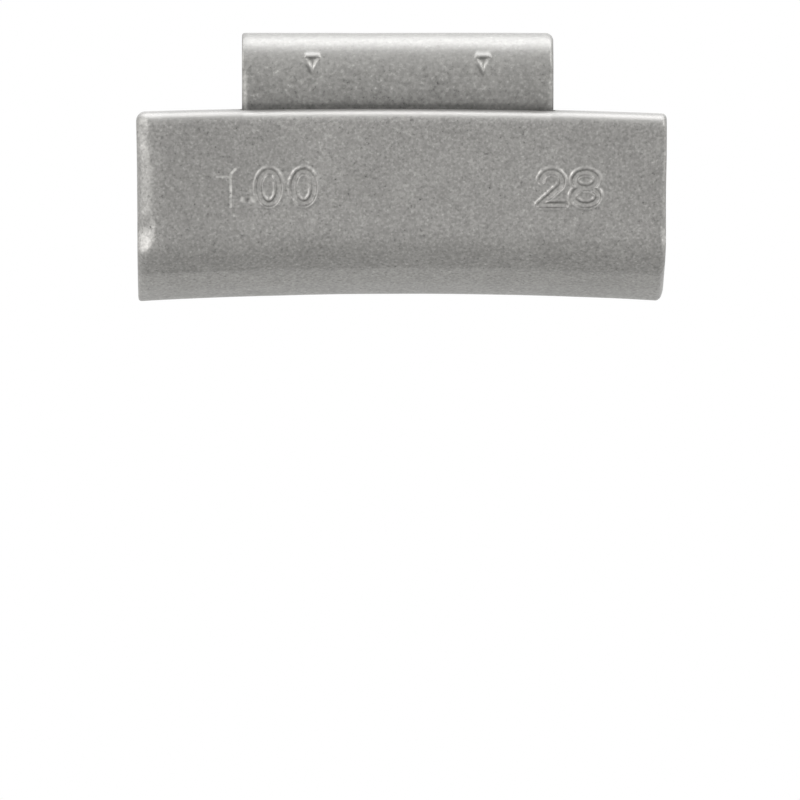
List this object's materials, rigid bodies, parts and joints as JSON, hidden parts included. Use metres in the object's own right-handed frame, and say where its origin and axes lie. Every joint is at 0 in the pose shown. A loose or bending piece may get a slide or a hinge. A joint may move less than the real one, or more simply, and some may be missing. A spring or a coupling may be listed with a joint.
{
  "type": "wheel balance weight",
  "caption": "Clip-on balance weight: a shallow arc of steel bar with a sprung hook along its top that grips the rim flange of a car wheel.",
  "frame": {"origin": "on the bar's flat back, which seats on the rim, in the middle of the bar's length and height", "axes": "+X along the bar, to the right seen from the front; +Y out of the bar's back, towards the rim; +Z away from the wheel's centre, towards the clip's top"},
  "size_m": [0.0376, 0.0129, 0.0191],
  "materials": {
    "bar_coat": "silver-grey metallic coat with a fine grain, satin",
    "clip_coat": "silver-grey metallic coat with a fine grain, satin"
  },
  "bodies": {
    "root": {"weight_body": "bar_coat", "spring_clip": "clip_coat"}
  },
  "joints": []
}
